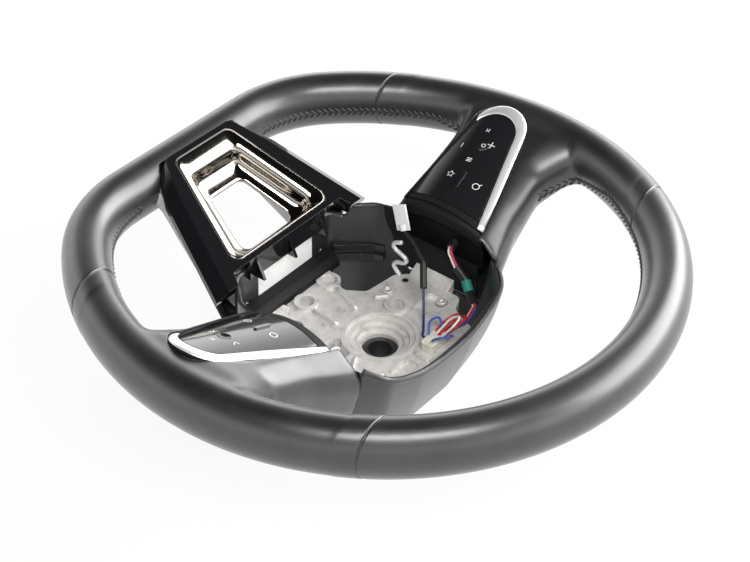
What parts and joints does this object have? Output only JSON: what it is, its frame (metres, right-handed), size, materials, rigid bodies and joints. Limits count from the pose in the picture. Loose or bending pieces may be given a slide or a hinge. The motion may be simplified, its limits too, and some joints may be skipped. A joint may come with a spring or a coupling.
{
  "type": "car steering wheel",
  "caption": "Flat-bottomed leather car steering wheel with the airbag removed: padded side spokes with rocking switch pads, a framed lower spoke, a cast hub and an open rear cover.",
  "frame": {"origin": "on the steering axis, halfway along the splined bush that takes the column", "axes": "+Z along the steering axis to the driver, +Y to twelve o'clock, +X to three o'clock as the driver sees it"},
  "size_m": [0.37, 0.3589, 0.1194],
  "materials": {
    "casting": "as cast, satin",
    "bush_steel": "machined",
    "padding": "foam, matte",
    "leather": "satin, fine grain",
    "cover_plastic": "fine texture",
    "screw_steel": "zinc plated",
    "gloss_black": "piano black",
    "dark_chrome": "dark tinted",
    "white_label": "blank",
    "black_plastic": "moulded",
    "bright_trim": "bright",
    "pad_gloss": "gloss with white symbols",
    "board_green": "printed circuit board",
    "switch_rubber": "matte",
    "wire_white": "smooth",
    "wire_blue": "smooth",
    "wire_red": "smooth",
    "wire_black": "smooth",
    "wire_dark_blue": "smooth",
    "green_tape": "woven tape",
    "cream_plastic": "moulded",
    "clip_steel": "spring wire"
  },
  "bodies": {
    "wheel": {"armature": "casting", "hub_boss": "casting", "rim_core": "casting", "hub_bush": "bush_steel", "foam_top": "padding", "foam_left": "padding", "foam_right": "padding", "foam_bottom": "padding", "leather_top": "leather", "leather_left": "leather", "leather_right": "leather", "leather_bottom": "leather", "rear_cover": "cover_plastic", "rear_cover_screws": "screw_steel", "lower_frame": "gloss_black", "lower_liner": "dark_chrome", "lower_spoke_back": "cover_plastic", "wall_label": "white_label", "pod_wire_white": "wire_white", "pod_wire_blue": "wire_blue", "pod_wire_red": "wire_red", "harness_sleeve": "wire_black", "harness_tape": "green_tape", "pod_grommet": "wire_black", "airbag_lead": "wire_black", "airbag_wire": "wire_dark_blue", "airbag_sleeve": "wire_black", "lead_tag": "white_label", "column_connector": "cream_plastic", "retainer_clip": "clip_steel", "left_pod_housing": "black_plastic", "left_bezel": "bright_trim", "left_pod_board": "board_green", "left_pod_mat": "switch_rubber", "right_pod_housing": "black_plastic", "right_bezel": "bright_trim", "right_pod_board": "board_green", "right_pod_mat": "switch_rubber"},
    "left_cradle": {"left_cradle": "black_plastic"},
    "left_pad": {"left_pad": "pad_gloss"},
    "right_cradle": {"right_cradle": "black_plastic"},
    "right_pad": {"right_pad": "pad_gloss"}
  },
  "joints": [
    {"name": "right_pad_rock", "type": "hinge", "parent": "wheel", "child": "right_cradle", "pos_m": [0.11413, -0.01432, 0.07933], "axis": [0.9411, -0.0856, 0.3272], "range_deg": [-2, 2], "stiffness_Nm_per_rad": 4},
    {"name": "right_pad_nod", "type": "hinge", "parent": "right_cradle", "child": "right_pad", "pos_m": [0.11413, -0.01432, 0.07933], "axis": [0.0714, 0.9959, 0.0549], "range_deg": [-1.2, 1.2], "stiffness_Nm_per_rad": 6},
    {"name": "left_pad_rock", "type": "hinge", "parent": "wheel", "child": "left_cradle", "pos_m": [-0.11413, -0.01432, 0.07933], "axis": [-0.9411, -0.0856, 0.3272], "range_deg": [-2, 2], "stiffness_Nm_per_rad": 4},
    {"name": "left_pad_nod", "type": "hinge", "parent": "left_cradle", "child": "left_pad", "pos_m": [-0.11413, -0.01432, 0.07933], "axis": [-0.0714, 0.9959, 0.0549], "range_deg": [-1.2, 1.2], "stiffness_Nm_per_rad": 6}
  ]
}
